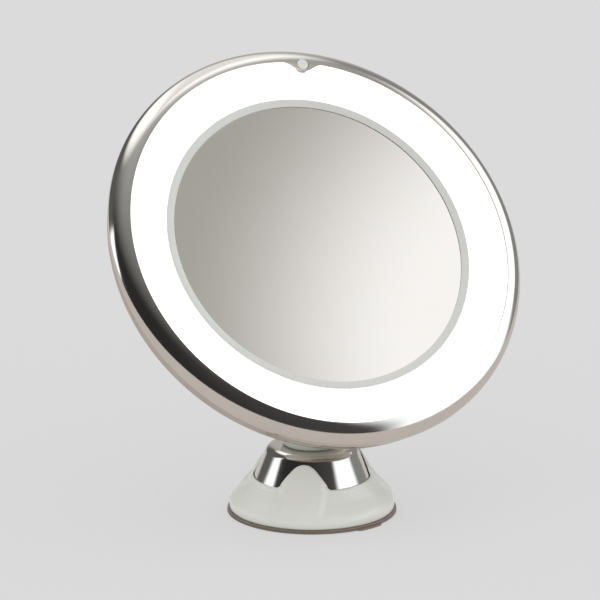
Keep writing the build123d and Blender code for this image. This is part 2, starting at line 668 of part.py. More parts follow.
# Cam ring: web under the grip, with two ramps that lift the pin's ends.
CAM_FLOOR_Z = (5.3, 7.2)
RAMP_LOW = PIN_Z - PIN_R - 0.3      # top of a ramp under the pin at rest
with BuildPart() as cam_ring:
    with BuildSketch(Plane.XY.offset(CAM_FLOOR_Z[0])):
        Circle(34.3)
        Circle(TOWER_R + 0.4, mode=Mode.SUBTRACT)
    extrude(amount=CAM_FLOOR_Z[1] - CAM_FLOOR_Z[0])
    steps = 12
    for end in (0, 180):
        for step in range(steps):
            first = end - 8 - (step - 1) * LOCK_TURN / (steps - 1)
            height = RAMP_LOW + PULL_TRAVEL * max(0, step - 1) / (steps - 1)
            with BuildSketch(Plane.XY.offset(CAM_FLOOR_Z[1] - 0.2)):
                with BuildLine():
                    wedge_in = CenterArc((0, 0), TOWER_R + 0.6, first - 9, 9.5)
                    wedge_out = CenterArc((0, 0), 21.6, first - 9, 9.5)
                    Line(wedge_in @ 0, wedge_out @ 0)
                    Line(wedge_in @ 1, wedge_out @ 1)
                make_face()
            extrude(amount=height - CAM_FLOOR_Z[1] + 0.2)
    with BuildSketch(Plane.XY.offset(CAM_FLOOR_Z[0])):
        with PolarLocations(GRIP_SCREW_R, LOBES, start_angle=-90):
            Circle(1.3)
    extrude(amount=3, mode=Mode.SUBTRACT)
    with BuildSketch(Plane.XY.offset(CAM_FLOOR_Z[0])):
        with PolarLocations(GRIP_SCREW_R, LOBES, start_angle=-90):
            Circle(2.4)
    extrude(amount=1.05, mode=Mode.SUBTRACT)
cam_ring.part.label = "cam_ring"

# Grip: a flared skirt with three raised finger lobes lying on the chrome cap.
GRIP_GAP = 0.4                      # clearance between the grip and the chrome cap
with BuildPart() as lobe_prisms:
    for number in range(LOBES):
        with BuildSketch(lobe_plane(number)):
            add(arch_outline())
            make_face()
        extrude(amount=45)

with BuildPart() as grip_lobes:
    with BuildSketch(base_section):
        with BuildLine():
            Spline((23.5, LOBE_TOP_Z), (26.9, 22.2), (30.1, 17.3), (33.2, 13.9), (36.4, 11.0), (38.4, 8.2))
            Polyline((38.4, 8.2), (SKIRT_R, 5.0), (36.6, 5.0), (34.2, 8.0), (31.2, 10.4),
                     (cone_r(CAP_LOW_Z) + GRIP_GAP, CAP_LOW_Z),
                     (cone_r(LOBE_TOP_Z) + GRIP_GAP, LOBE_TOP_Z), (23.5, LOBE_TOP_Z))
        make_face()
    revolve(axis=Axis.Z)
    add(lobe_prisms.part, mode=Mode.INTERSECT)

with BuildPart() as grip_shell:
    with BuildSketch(base_section):
        with BuildLine():
            Polyline((38.6, 1.85), (SKIRT_R, 4.6))
            ThreePointArc((SKIRT_R, 4.6), (38.5, 6.2), (37.2, 7.7))
            Spline((37.2, 7.7), (34.3, 10.0), (30.7, 13.6), (28.5, LEDGE_Z))
            Polyline((28.5, LEDGE_Z), (cone_r(LEDGE_Z) + GRIP_GAP, LEDGE_Z),
                     (cone_r(CAP_LOW_Z) + GRIP_GAP, CAP_LOW_Z),
                     (31.2, 10.4), (34.2, 8.0), (36.6, 5.0), (36.6, 1.85), (38.6, 1.85))
        make_face()
    revolve(axis=Axis.Z)
    add(grip_lobes.part)
    with BuildSketch(Plane.XY.offset(CAM_FLOOR_Z[1] + 0.1)):
        with PolarLocations(GRIP_SCREW_R, LOBES, start_angle=-90):
            Circle(2.5)
    extrude(amount=4.2)
    with BuildSketch(Plane.XY.offset(CAM_FLOOR_Z[1])):
        with PolarLocations(GRIP_SCREW_R, LOBES, start_angle=-90):
            Circle(1.15)
    extrude(amount=5.5, mode=Mode.SUBTRACT)
grip_shell.part.label = "grip_shell"

# Screws from under the cam ring's web into the grip's bosses.
with BuildPart() as grip_screws:
    with BuildSketch(Plane.XY.offset(5.4)):
        with PolarLocations(GRIP_SCREW_R, LOBES, start_angle=-90):
            Circle(2.2)
    extrude(amount=0.9)
    with BuildSketch(Plane.XY.offset(6.3)):
        with PolarLocations(GRIP_SCREW_R, LOBES, start_angle=-90):
            Circle(1.1)
    extrude(amount=6.2)
grip_screws.part.label = "grip_screws"

# ================================================================ output
everything = [chrome_bezel, light_diffuser, mirror_retaining_ring, mirror_glass, mirror_cushion,
              inner_frame, led_board, leds, power_button, switch_plunger, tact_switch,
              rear_shell, shell_screws, battery_door, battery_tray, batteries, battery_contacts,
              battery_springs, arm_plate, neck_arm, arm_screws, ball_stud, ball_sleeve, ball_seat,
              seat_washer, socket_collar, chrome_cap, base_core, suction_pad, pull_stud,
              cross_pin, return_spring, cam_ring, grip_shell, grip_screws]
for piece in everything:
    export_step(piece.part, f"parts/{piece.part.label}.step")
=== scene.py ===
"""Looks of the lighted magnifying mirror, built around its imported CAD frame.

Everything is in metres in the part's frame; sizes in this file are written in
millimetres and multiplied by MM where geometry is made.
"""
import json
import math

import bpy
import numpy as np
from mathutils import Matrix, Vector


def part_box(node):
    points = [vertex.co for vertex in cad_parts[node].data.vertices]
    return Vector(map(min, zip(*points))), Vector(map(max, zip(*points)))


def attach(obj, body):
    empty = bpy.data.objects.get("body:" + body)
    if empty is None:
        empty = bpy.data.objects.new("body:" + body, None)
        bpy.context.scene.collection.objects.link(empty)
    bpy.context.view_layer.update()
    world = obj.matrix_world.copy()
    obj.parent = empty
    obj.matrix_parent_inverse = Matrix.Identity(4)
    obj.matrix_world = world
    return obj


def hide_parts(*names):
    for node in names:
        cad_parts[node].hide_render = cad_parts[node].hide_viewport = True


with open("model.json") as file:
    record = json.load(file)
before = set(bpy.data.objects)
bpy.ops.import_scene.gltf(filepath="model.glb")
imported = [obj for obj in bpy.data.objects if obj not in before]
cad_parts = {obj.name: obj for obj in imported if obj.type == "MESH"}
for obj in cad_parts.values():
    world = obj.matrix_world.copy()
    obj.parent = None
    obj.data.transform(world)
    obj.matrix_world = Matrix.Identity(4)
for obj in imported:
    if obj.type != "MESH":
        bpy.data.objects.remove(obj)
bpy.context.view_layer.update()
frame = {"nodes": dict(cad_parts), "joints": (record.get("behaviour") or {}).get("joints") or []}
nodes = frame["nodes"]
MM = 0.001

# ---------------------------------------------------------------- frames
press = next(j for j in frame["joints"] if j["name"] == "button_press")
normal = -Vector(press["axis"]).normalized()            # out of the mirror's front
low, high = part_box("led_board")
BOARD_MID = 8.5                                         # board's middle behind the front plane
head_centre = (low + high) / 2 + normal * BOARD_MID * MM
low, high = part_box("power_button")
toward_button = (low + high) / 2 - head_centre
head_up = (toward_button - normal * toward_button.dot(normal)).normalized()
head_right = head_up.cross(normal)
HEAD = Matrix.Translation(head_centre) @ Matrix((head_right, head_up, normal)).transposed().to_4x4()
BASE = Matrix.Identity(4)
BUTTON_AT = (HEAD.inverted() @ ((low + high) / 2)).y / MM


# ---------------------------------------------------------------- mesh helpers
def arc(centre, radius, first, last, steps):
    """Points of an arc in a section plane, angles in degrees from +r towards +z."""
    turns = np.radians(np.linspace(first, last, steps + 1))
    return [(centre[0] + radius * math.cos(t), centre[1] + radius * math.sin(t)) for t in turns]


def rounded(corners, steps=6):
    """A closed section from corners (r, z, fillet radius), with each corner rounded."""
    points = []
    count = len(corners)
    for i, (r, z, fillet) in enumerate(corners):
        here = np.array((r, z), float)
        if not fillet:
            points.append(tuple(here))
            continue
        before = np.array(corners[i - 1][:2], float) - here
        after = np.array(corners[(i + 1) % count][:2], float) - here
        room = 0.49 * min(np.linalg.norm(before), np.linalg.norm(after))
        before /= np.linalg.norm(before)
        after /= np.linalg.norm(after)
        half = math.acos(max(-1, min(1, before @ after))) / 2
        reach = min(fillet / math.tan(half), room)
        a, b = here + before * reach, here + after * reach
        for t in np.linspace(0, 1, steps + 1):
            points.append(tuple((1 - t) ** 2 * a + 2 * t * (1 - t) * here + t * t * b))
    return points


def mesh_object(name, verts, faces, place=BASE, sharp=35):
    """A smooth-shaded mesh from points in millimetres, set in place, with its sharp edges marked."""
    mesh = bpy.data.meshes.new(name)
    mesh.from_pydata([tuple(v) for v in np.asarray(verts) * MM], [], faces)
    mesh.validate()
    mesh.transform(place)
    mesh.update()
    mesh.shade_smooth()
    mesh.set_sharp_from_angle(angle=math.radians(sharp))
    obj = bpy.data.objects.new(name, mesh)
    bpy.context.scene.collection.objects.link(obj)
    return obj


def grid_faces(rows, columns, close_rows):
    """Quads over a grid whose columns go all the way round; the rows may close too."""
    faces = []
    for row in range(rows if close_rows else rows - 1):
        after = (row + 1) % rows
        for column in range(columns):
            side = (column + 1) % columns
            faces.append((row * columns + column, row * columns + side,
                          after * columns + side, after * columns + column))
    return faces


def turned(name, section, place=BASE, around=288, sharp=35):
    """A closed section turned about its z axis."""
    ring = np.radians(np.arange(around) * 360 / around)
    section = np.array(section, float)
    verts = [(r * math.cos(t), r * math.sin(t), z) for r, z in section for t in ring]
    obj = mesh_object(name, verts, grid_faces(len(section), around, True), place, sharp)
    face_outward(obj)
    return obj


def face_outward(obj):
    """Turns a closed mesh's faces outward."""
    mesh = obj.data
    volume = 0
    for polygon in mesh.polygons:
        first = mesh.vertices[polygon.vertices[0]].co
        for i in range(1, len(polygon.vertices) - 1):
            second = mesh.vertices[polygon.vertices[i]].co
            third = mesh.vertices[polygon.vertices[i + 1]].co
            volume += first.dot(second.cross(third))
    if volume < 0:
        mesh.flip_normals()


def cut(obj, cutter):
    """Takes the cutter's room out of obj, then removes the cutter."""
    modifier = obj.modifiers.new("cut", "BOOLEAN")
    modifier.object = cutter
    modifier.operation = "DIFFERENCE"
    modifier.solver = "EXACT"
    bpy.context.view_layer.update()
    depsgraph = bpy.context.evaluated_depsgraph_get()
    mesh = bpy.data.meshes.new_from_object(obj.evaluated_get(depsgraph))
    obj.modifiers.clear()
    obj.data = mesh
    bpy.data.objects.remove(cutter)
    mesh.shade_smooth()
    mesh.set_sharp_from_angle(angle=math.radians(35))


def paint(obj, material):
    """Gives obj one material."""
    obj.data.materials.clear()
    obj.data.materials.append(material)


# ---------------------------------------------------------------- materials
class Shader:
    """A Principled material with helpers for its procedural nodes."""

    def __init__(self, name, **sockets):
        self.material = bpy.data.materials.new(name)
        self.material.use_nodes = True
        self.tree = self.material.node_tree
        self.shader = self.tree.nodes["Principled BSDF"]
        for socket, value in sockets.items():
            self.shader.inputs[socket.replace("_", " ")].default_value = value
        self.place = self.tree.nodes.new("ShaderNodeTexCoord").outputs["Object"]

    def node(self, kind, inputs=None, **settings):
        made = self.tree.nodes.new(kind)
        for key, value in settings.items():
            setattr(made, key, value)
        for key, value in (inputs or {}).items():
            if isinstance(value, bpy.types.NodeSocket):
                self.tree.links.new(value, made.inputs[key])
            else:
                made.inputs[key].default_value = value
        return made

    def noise(self, scale, detail=3.0, stretch=(1, 1, 1)):
        where = self.place
        if stretch != (1, 1, 1):
            where = self.node("ShaderNodeMapping", {"Vector": where, "Scale": stretch}).outputs[0]
        return self.node("ShaderNodeTexNoise", {"Vector": where, "Scale": scale, "Detail": detail,
                                                "Roughness": 0.55}).outputs["Fac"]

    def ramp(self, value, low, high, out_low, out_high):
        return self.node("ShaderNodeMapRange", {"Value": value, "From Min": low, "From Max": high,
                                                "To Min": out_low, "To Max": out_high}).outputs[0]

    def mix(self, factor, a, b):
        made = self.node("ShaderNodeMix", data_type="RGBA")
        for index, value in ((0, factor), (6, a), (7, b)):
            if isinstance(value, bpy.types.NodeSocket):
                self.tree.links.new(value, made.inputs[index])
            else:
                made.inputs[index].default_value = value
        return made.outputs[2]

    def math(self, operation, a, b=0.0):
        made = self.node("ShaderNodeMath", {0: a, 1: b}, operation=operation)
        return made.outputs[0]

    def bump(self, height, strength, distance):
        made = self.node("ShaderNodeBump", {"Height": height, "Strength": strength, "Distance": distance})
        self.set("Normal", made.outputs[0])

    def set(self, socket, value):
        self.tree.links.new(value, self.shader.inputs[socket])


def rgb(r, g, b):
    """A linear colour from 8-bit sRGB values."""
    def linear(c):
        c /= 255
        return c / 12.92 if c <= 0.04045 else ((c + 0.055) / 1.055) ** 2.4
    return (linear(r), linear(g), linear(b), 1)


def plated(name, tint, dark_tint, roughness):
    """Bright plating: a little cloudy, with fine polishing marks and a faint waviness."""
    m = Shader(name, Metallic=1.0)
    cloud = m.noise(45, 4)
    m.set("Base Color", m.mix(m.ramp(cloud, 0.3, 0.7, 0, 1), dark_tint, tint))
    fine = m.noise(900, 2)
    haze = m.math("ADD", m.ramp(cloud, 0.3, 0.7, 0, 0.025), m.ramp(fine, 0.3, 0.7, roughness, roughness + 0.03))
    m.set("Roughness", haze)
    m.bump(m.noise(60, 2), 0.02, 0.0004)
    return m.material


def moulded(name, colour, shade, roughness, depth=0.08, scatter=0.0):
    """Moulded plastic: slight cloudiness in colour and gloss, and a fine spark-eroded grain."""
    m = Shader(name)
    m.shader.inputs["Subsurface Weight"].default_value = scatter
    m.shader.inputs["Subsurface Scale"].default_value = 0.004
    cloud = m.noise(30, 4)
    m.set("Base Color", m.mix(m.ramp(cloud, 0.35, 0.65, 0, 1), shade, colour))
    m.set("Roughness", m.ramp(m.noise(220, 3), 0.3, 0.7, roughness - 0.04, roughness + 0.05))
    m.bump(m.noise(1500, 2), depth, 0.0002)
    return m.material


CHROME = plated("plated_rim", rgb(216, 206, 197), rgb(211, 201, 192), 0.07)
CAP_CHROME = plated("plated_cap", rgb(216, 206, 197), rgb(211, 201, 192), 0.08)
COLLAR_WHITE = moulded("moulded_collar", rgb(222, 226, 221), rgb(215, 220, 214), 0.16, depth=0.03)
WHITE = moulded("moulded_white", rgb(227, 227, 221), rgb(224, 224, 217), 0.32, depth=0.015)
SHELL_WHITE = moulded("moulded_shell", rgb(226, 226, 220), rgb(221, 221, 214), 0.34)
INNER = moulded("moulded_inner", rgb(206, 206, 202), rgb(198, 198, 194), 0.5, depth=0.15)
BUTTON = moulded("moulded_button", rgb(222, 223, 220), rgb(217, 218, 214), 0.3)
RING = moulded("moulded_ring", rgb(212, 213, 208), rgb(210, 211, 206), 0.28, depth=0.02)
NYLON = moulded("nylon", rgb(232, 229, 216), rgb(226, 222, 207), 0.42, scatter=0.1)
SWITCH = moulded("switch_body", rgb(42, 42, 44), rgb(34, 34, 37), 0.45)


LAMP_ROW_R = 85.5                       # the row of lamps, from the mirror's middle
PLATED_FROM_Z = -16.5                   # the rear shell is plated in front of this


def diffuser_cover():
    """Milky cover, lit from behind, a little brighter over the row of lamps."""
    m = Shader("milky_cover", Roughness=0.35)
    away = m.node("ShaderNodeVectorMath", {0: m.place, 1: tuple(head_centre)}, operation="SUBTRACT")
    reach = m.node("ShaderNodeVectorMath", {0: away.outputs[0]}, operation="LENGTH").outputs["Value"]
    off = m.math("ABSOLUTE", m.math("SUBTRACT", reach, LAMP_ROW_R * MM))
    glow = m.ramp(off, 0, 0.010, 1.0, 0.93)
    cloud = m.ramp(m.noise(60, 3), 0.3, 0.7, 0.985, 1.0)
    m.set("Base Color", m.mix(cloud, rgb(236, 238, 232), rgb(246, 247, 242)))
    m.set("Emission Color", m.mix(glow, rgb(244, 248, 240), rgb(255, 255, 252)))
    m.set("Emission Strength", m.math("MULTIPLY", glow, 0.95))
    m.bump(m.noise(1400, 2), 0.03, 0.0002)
    return m.material


def silvered_glass():
    """Silvered glass with the faintest polishing haze."""
    m = Shader("silvered_glass", Metallic=1.0)
    cloud = m.noise(25, 3)
    m.set("Base Color", m.mix(cloud, rgb(247, 246, 242), rgb(250, 250, 248)))
    m.set("Roughness", m.ramp(m.noise(300, 3), 0.3, 0.7, 0.012, 0.03))
    m.bump(m.noise(12, 1), 0.01, 0.0002)
    return m.material


def brushed(name, tint, shade, roughness):
    """Metal with fine streaks across its length."""
    m = Shader(name, Metallic=1.0)
    m.shader.inputs["Anisotropic"].default_value = 0.3
    streak = m.noise(180, 4, stretch=(1, 1, 14))
    m.set("Base Color", m.mix(streak, shade, tint))
    m.set("Roughness", m.ramp(streak, 0.3, 0.7, roughness, roughness + 0.12))
    m.bump(streak, 0.05, 0.0002)
    return m.material


STEEL = brushed("brushed_steel", rgb(205, 204, 200), rgb(180, 179, 176), 0.25)


def pad_rubber():
    """Soft brown elastomer, a little translucent."""
    m = Shader("pad_elastomer")
    m.shader.inputs["Subsurface Weight"].default_value = 0.25
    m.shader.inputs["Subsurface Scale"].default_value = 0.003
    cloud = m.noise(70, 4)
    m.set("Base Color", m.mix(cloud, rgb(112, 101, 91), rgb(134, 122, 112)))
    m.set("Roughness", m.ramp(m.noise(300, 3), 0.3, 0.7, 0.32, 0.46))
    m.bump(m.noise(900, 2), 0.1, 0.0002)
    return m.material


PAD = pad_rubber()


def foam():
    """Dark open-celled foam."""
    m = Shader("foam", Roughness=0.95)
    cell = m.node("ShaderNodeTexVoronoi", {"Vector": m.place, "Scale": 1400.0}).outputs["Distance"]
    m.set("Base Color", m.mix(cell, rgb(70, 70, 72), rgb(52, 52, 54)))
    m.bump(cell, 0.5, 0.0004)
    return m.material


def circuit_board():
    """White board with faint traces under its lacquer."""
    m = Shader("circuit_board", Roughness=0.4)
    trace = m.noise(160, 1)
    m.set("Base Color", m.mix(m.ramp(trace, 0.5, 0.52, 0, 1), rgb(238, 240, 236), rgb(222, 228, 222)))
    m.set("Roughness", m.ramp(m.noise(400, 2), 0.3, 0.7, 0.32, 0.5))
    return m.material


def lamp():
    """Yellow phosphor of a lamp, lit."""
    m = Shader("lamp_phosphor", Roughness=0.3)
    spot = m.noise(500, 2)
    m.set("Base Color", m.mix(spot, rgb(250, 236, 170), rgb(255, 246, 200)))
    m.set("Emission Color", m.mix(spot, rgb(255, 250, 235), rgb(255, 252, 244)))
    m.shader.inputs["Emission Strength"].default_value = 1.5
    return m.material


def cell_jacket():
    """Dark printed jacket of a battery cell, without marks."""
    m = Shader("cell_jacket", Roughness=0.3)
    band = m.noise(90, 2, stretch=(1, 1, 6))
    m.set("Base Color", m.mix(m.ramp(band, 0.4, 0.6, 0, 1), rgb(48, 52, 60), rgb(62, 66, 74)))
    m.set("Roughness", m.ramp(m.noise(500, 2), 0.3, 0.7, 0.24, 0.36))
    return m.material


def shell_with_band():
    """White dome whose side band is plated like the rim, told apart by the distance behind the front."""
    m = Shader("moulded_shell_with_plated_band")
    away = m.node("ShaderNodeVectorMath", {0: m.place, 1: tuple(head_centre)}, operation="SUBTRACT")
    depth = m.node("ShaderNodeVectorMath", {0: away.outputs[0], 1: tuple(normal)}, operation="DOT_PRODUCT")
    band = m.ramp(depth.outputs["Value"], (PLATED_FROM_Z - 0.1) * MM, (PLATED_FROM_Z + 0.1) * MM, 0, 1)
    cloud = m.noise(45, 4)
    white = m.mix(m.ramp(cloud, 0.35, 0.65, 0, 1), rgb(221, 221, 214), rgb(226, 226, 220))
    silver = m.mix(m.ramp(cloud, 0.3, 0.7, 0, 1), rgb(186, 174, 164), rgb(198, 187, 178))
    m.set("Base Color", m.mix(band, white, silver))
    m.set("Metallic", band)
    fine = m.ramp(m.noise(600, 3), 0.3, 0.7, -0.02, 0.03)
    m.set("Roughness", m.math("ADD", fine, m.ramp(band, 0, 1, 0.34, 0.16)))
    m.bump(m.noise(1500, 2), 0.04, 0.0002)
    return m.material


# ---------------------------------------------------------------- carried-over CAD nodes
for names, material in (
    (("mirror_cushion",), foam()),
    (("led_board",), circuit_board()),
    (("leds",), lamp()),
    (("rear_shell",), shell_with_band()),
    (("battery_door",), SHELL_WHITE),
    (("inner_frame", "battery_tray", "base_core", "cam_ring"), INNER),
    (("switch_plunger", "tact_switch"), SWITCH),
    (("batteries",), cell_jacket()),
    (("ball_sleeve", "ball_seat"), NYLON),
    (("neck_arm",), WHITE),
    (("battery_contacts", "battery_springs", "arm_plate", "arm_screws", "shell_screws", "ball_stud",
      "seat_washer", "pull_stud", "cross_pin", "return_spring", "grip_screws"), STEEL),
):
    for name in names:
        paint(nodes[name], material)


# ---------------------------------------------------------------- mirror head
RIM_R, RIM_BACK_Z, RIM_SHEET = 102.7, -5.8, 0.8     # rim's outer edge, its back, and its wall
RIM_APEX_R = 90.9                       # where the front's curve would be level
RIM_SIDE_Z, RIM_TOP_Z = -4.6, 2.95      # where that curve starts at the side, and its top
RIM_CORNER = 0.25                       # bevel between the rim's side and its back
LIP_R, LIP_WALL, LIP_WALL_Z = 93.9, 1.1, -0.55      # rim's inner edge, its wall, and how far back that goes
LIP_EDGE, LIP_UNDERCUT = 0.2, 0.9
TAB_TIP_R, TAB_HALF = 88.9, 10.5        # tab's tip from the middle, and half its width
TAB_UNDER_Z, TAB_SLOPE = 1.3, 0.14
AT_BUTTON = HEAD @ Matrix.Translation((0, BUTTON_AT * MM, 0))


def rim_section(inner_r):
    """The rim's closed section where its inner edge is at inner_r."""
    wide, tall = RIM_R - RIM_APEX_R, RIM_TOP_Z - RIM_SIDE_Z

    def curve(start, end, steps, shrink=0.0):
        """Points of the front's quarter ellipse between two angles, moved inward by shrink."""
        return [(RIM_APEX_R + (wide - shrink) * math.cos(t), RIM_SIDE_Z + (tall - shrink) * math.sin(t))
                for t in np.linspace(start, end, steps)]

    def top(r):
        across = (max(r, LIP_R) - RIM_APEX_R) / wide
        return RIM_SIDE_Z + tall * math.sqrt(1 - across ** 2) + TAB_SLOPE * max(0, LIP_R - r)

    section = [(RIM_R - RIM_CORNER, RIM_BACK_Z), (RIM_R, RIM_BACK_Z + RIM_CORNER)]
    section += curve(0, math.acos((LIP_R + 1 - RIM_APEX_R) / wide), 36)
    section += [(r, top(r)) for r in np.linspace(LIP_R + 1, inner_r + LIP_EDGE, 8)[1:]]
    brink = top(inner_r + LIP_EDGE)
    section += arc((inner_r + LIP_EDGE, brink - LIP_EDGE), LIP_EDGE, 90, 180, 5)[1:]
    section += [(inner_r + LIP_UNDERCUT, TAB_UNDER_Z + 0.1), (LIP_R + LIP_UNDERCUT, TAB_UNDER_Z - 0.02)]
    section += [(LIP_R + LIP_UNDERCUT, LIP_WALL_Z), (LIP_R + LIP_WALL, LIP_WALL_Z)]
    section += curve(math.acos((LIP_R + LIP_WALL - RIM_APEX_R) / (wide - RIM_SHEET)), 0, 16, RIM_SHEET)
    section += [(RIM_R - RIM_SHEET, RIM_BACK_Z)]
    return section


def rim():
    """Plated rim: a turned channel whose lip dips inward to a tab at the button."""
    around = 720
    columns = []
    for column in range(around):
        turn = 2 * math.pi * column / around
        off = (turn + math.pi) % (2 * math.pi) - math.pi
        x = LIP_R * math.sin(off)
        share = min(1, abs(x) / TAB_HALF) if abs(off) < 1 else 1
        dip = (LIP_R - TAB_TIP_R) * (0.5 + 0.5 * math.cos(math.pi * share))
        columns.append([(r * math.sin(turn), r * math.cos(turn), z) for r, z in rim_section(LIP_R - dip)])
    rows = len(columns[0])
    verts = [columns[c][r] for r in range(rows) for c in range(around)]
    obj = mesh_object("rim", verts, grid_faces(rows, around, True), HEAD)
    face_outward(obj)
    hole = turned("hole", [(0.01, -3), (4.2, -3), (4.2, 1.25), (3.0, 1.25), (3.0, 6), (0.01, 6)],
                  AT_BUTTON, around=72)
    cut(obj, hole)
    return obj


rim_piece = rim()
paint(rim_piece, CHROME)
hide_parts("chrome_bezel")
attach(rim_piece, "head")

cover = turned("lit_cover", rounded([
    (75.6, -2.75, 0), (95.4, -2.75, 0), (95.4, -0.7, 0.1), (94.6, -0.7, 0), (94.6, 1.1, 0.1),
    (93.0, 1.1, 1.0), (80.0, -0.7, 8.0), (75.6, -0.7, 0.2)]), HEAD, around=360)
cut(cover, turned("notch", [(0.01, -4), (2.0, -4), (2.0, -0.55), (4.0, -0.55), (4.0, 2.0), (0.01, 2.0)],
                  AT_BUTTON, around=48))
paint(cover, diffuser_cover())
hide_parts("light_diffuser")
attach(cover, "head")

glass_ring = turned("glass_ring", rounded([
    (71.7, -1.0, 0), (71.7, -0.72, 0.1), (74.9, 0.05, 0.35), (75.5, -0.15, 0.25), (75.5, -1.0, 0),
    (75.2, -1.0, 0), (75.2, -2.7, 0), (73.9, -2.7, 0), (73.9, -1.0, 0)]), HEAD, around=360)
paint(glass_ring, RING)
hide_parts("mirror_retaining_ring")
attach(glass_ring, "head")

GLASS_R, GLASS_THICK, GLASS_EDGE_Z, GLASS_SPHERE_R = 73.6, 3.0, -1.05, 600.0


def glass_face(behind):
    """Points of the glass's concave face from its middle to its edge."""
    sag = GLASS_SPHERE_R - math.sqrt(GLASS_SPHERE_R ** 2 - GLASS_R ** 2)
    return [(r, GLASS_EDGE_Z - sag + GLASS_SPHERE_R - math.sqrt(GLASS_SPHERE_R ** 2 - r * r) - behind)
            for r in np.linspace(0.01, GLASS_R, 48)]


glass = turned("glass", glass_face(0) + glass_face(GLASS_THICK)[::-1], HEAD, around=288)
paint(glass, silvered_glass())
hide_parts("mirror_glass")
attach(glass, "head")

button = turned("button", [(0.01, -3.3), (1.3, -3.3), (1.3, 0.4)] + rounded([
    (3.8, 0.4, 0.1), (3.8, 1.2, 0.1), (2.8, 1.2, 0), (2.8, 2.88, 0.45), (2.0, 2.8, 0.5), (0.01, 2.5, 0)]),
    AT_BUTTON, around=96)
paint(button, BUTTON)
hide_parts("power_button")
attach(button, "button")


# ---------------------------------------------------------------- base
def cone_r(z):
    """Radius of the plated cap's cone at height z."""
    return 22.0 + 0.43 * (29.4 - z)


collar = turned("collar", rounded([
    (9.05, 36.2, 0), (9.1, 38.0, 0.5), (7.25, 43.45, 0.2), (7.8, 44.3, 0.3), (9.4, 44.4, 0.4),
    (15.2, 41.4, 0.6), (16.45, 40.6, 0.8), (16.5, 39.7, 0.5), (14.6, 35.2, 1.2), (13.6, 33.1, 0.5),
    (13.0, 32.55, 0.1), (11.9, 32.55, 0), (11.9, 36.2, 0)]), around=240)
paint(collar, COLLAR_WHITE)
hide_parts("socket_collar")
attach(collar, "base")

CAP_FOOT_Z, CAP_TOP_Z = 12.0, 32.5
cap = turned("cap", rounded([
    (cone_r(CAP_FOOT_Z), CAP_FOOT_Z, 0.3), (cone_r(CAP_TOP_Z), CAP_TOP_Z, 5.2), (12.1, CAP_TOP_Z, 0.3),
    (12.1, CAP_TOP_Z - 1.2, 0), (cone_r(CAP_TOP_Z) - 1.2, CAP_TOP_Z - 1.2, 4.0),
    (cone_r(CAP_FOOT_Z) - 1.31, CAP_FOOT_Z, 0.2)], steps=14), around=360)
paint(cap, CAP_CHROME)
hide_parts("chrome_cap")
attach(cap, "base")

LEDGE_Z, LOBE_TOP_Z = 17.5, 28.6        # grip's upper edge between the lobes, and at a lobe's crown
LOBE_HALF, LOBE_CROWN_R = 11.1, 8.97
CROWN_HALF, HIP_RISE, FOOT_R = 7.4, 2.2, 2.2        # the crown's round part, then the edge's two bends
GAP = 0.4                               # between the grip's inside and the plated cone
MEAN_R = 27.5                           # of the upper edge, for its sideways distances
# Height and radius down the skirt, and down the middle of a lobe
SKIRT = (
    (1.85, 38.35), (2.1, 38.6), (3.4, 38.8), (4.6, 38.9), (5.4, 38.8), (6.2, 38.5), (6.9, 38.0), (7.7, 37.2),
    (8.8, 35.8), (10.0, 34.3), (11.8, 32.2), (13.6, 30.7), (15.5, 29.4), (17.5, 28.5))
LOBE = (
    (1.85, 38.35), (4.6, 38.9), (6.2, 38.5), (7.4, 38.1), (8.8, 37.5), (11.0, 35.9), (13.9, 33.1), (17.3, 30.1),
    (22.2, 26.9), (25.4, 25.1), (28.6, 23.5), (30.0, 22.9))


def smooth_curve(table, z):
    """Radius at heights z through (height, radius) pairs, without corners."""
    heights, radii = np.array(table).T
    fine = np.linspace(heights[0], heights[-1], 400)
    values = np.interp(fine, heights, radii)
    for _ in range(30):
        values[1:-1] = 0.25 * values[:-2] + 0.5 * values[1:-1] + 0.25 * values[2:]
    return np.interp(z, fine, values)


def arch_top(x):
    """Height of the grip's upper edge at a sideways distance x from a lobe's middle."""
    x = abs(x)
    crown_z = LOBE_TOP_Z - LOBE_CROWN_R
    if x <= CROWN_HALF:
        return crown_z + math.sqrt(LOBE_CROWN_R ** 2 - x * x)
    shoulder = crown_z + math.sqrt(LOBE_CROWN_R ** 2 - CROWN_HALF ** 2)
    hip = LEDGE_Z + HIP_RISE
    if x <= LOBE_HALF:
        return shoulder + (hip - shoulder) * ((x - CROWN_HALF) / (LOBE_HALF - CROWN_HALF)) ** 1.15
    if x <= LOBE_HALF + FOOT_R:
        return LEDGE_Z + FOOT_R - math.sqrt(FOOT_R ** 2 - (LOBE_HALF + FOOT_R - x) ** 2)
    return LEDGE_Z


